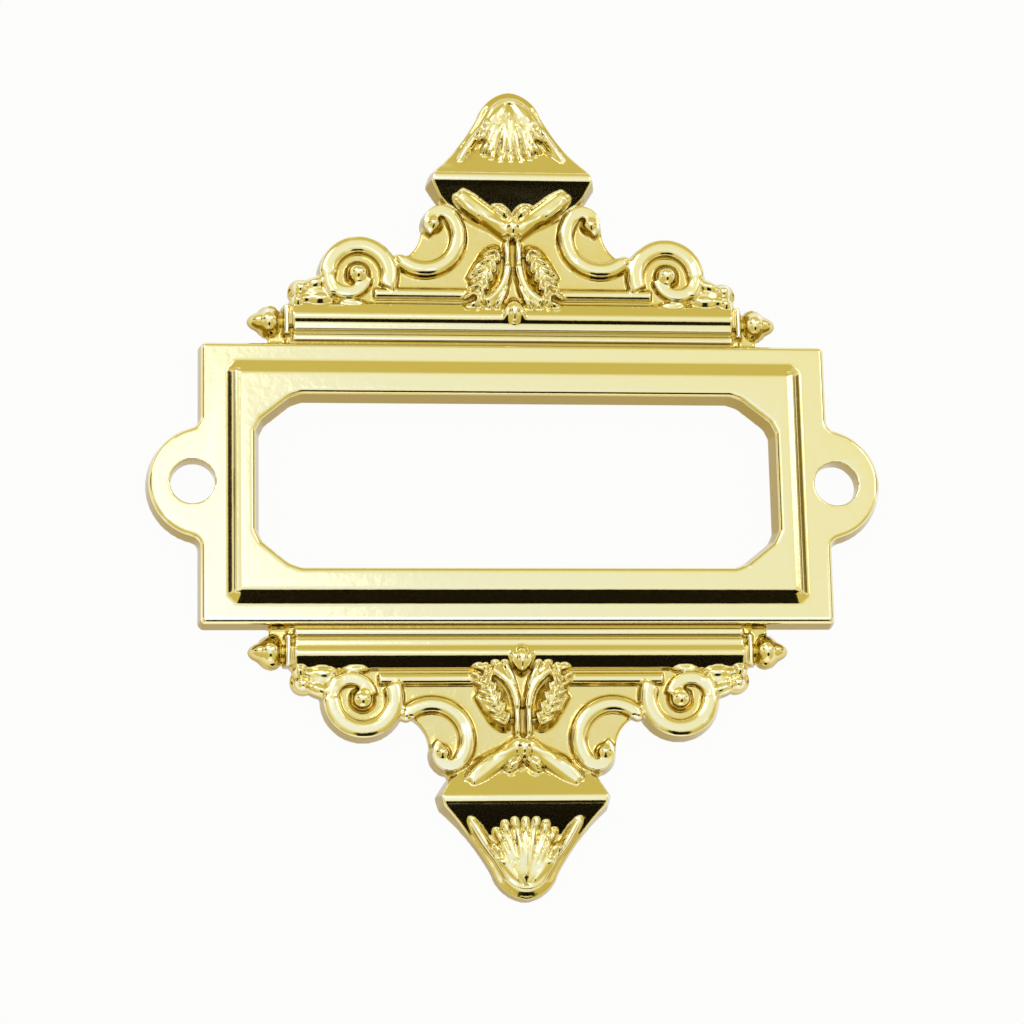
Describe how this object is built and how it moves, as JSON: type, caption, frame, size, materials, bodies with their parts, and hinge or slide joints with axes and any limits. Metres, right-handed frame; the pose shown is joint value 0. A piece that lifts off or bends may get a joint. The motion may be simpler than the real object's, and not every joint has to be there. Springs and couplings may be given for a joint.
{
  "type": "label holder",
  "caption": "Flat gold-plated label holder: clipped-corner window frame with screw ears and carved scrollwork crests, screwed to a drawer front to hold a card.",
  "frame": {"origin": "centre of the back face, midway between the two screw holes", "axes": "+X along the line of the screw holes, +Y towards the upper finial, +Z out of the face, away from the drawer"},
  "size_m": [0.0752, 0.0848, 0.0033],
  "materials": {
    "gold_plate": "polished gold plate on a zinc alloy casting"
  },
  "bodies": {
    "root": {"label_holder": "gold_plate"}
  },
  "joints": []
}
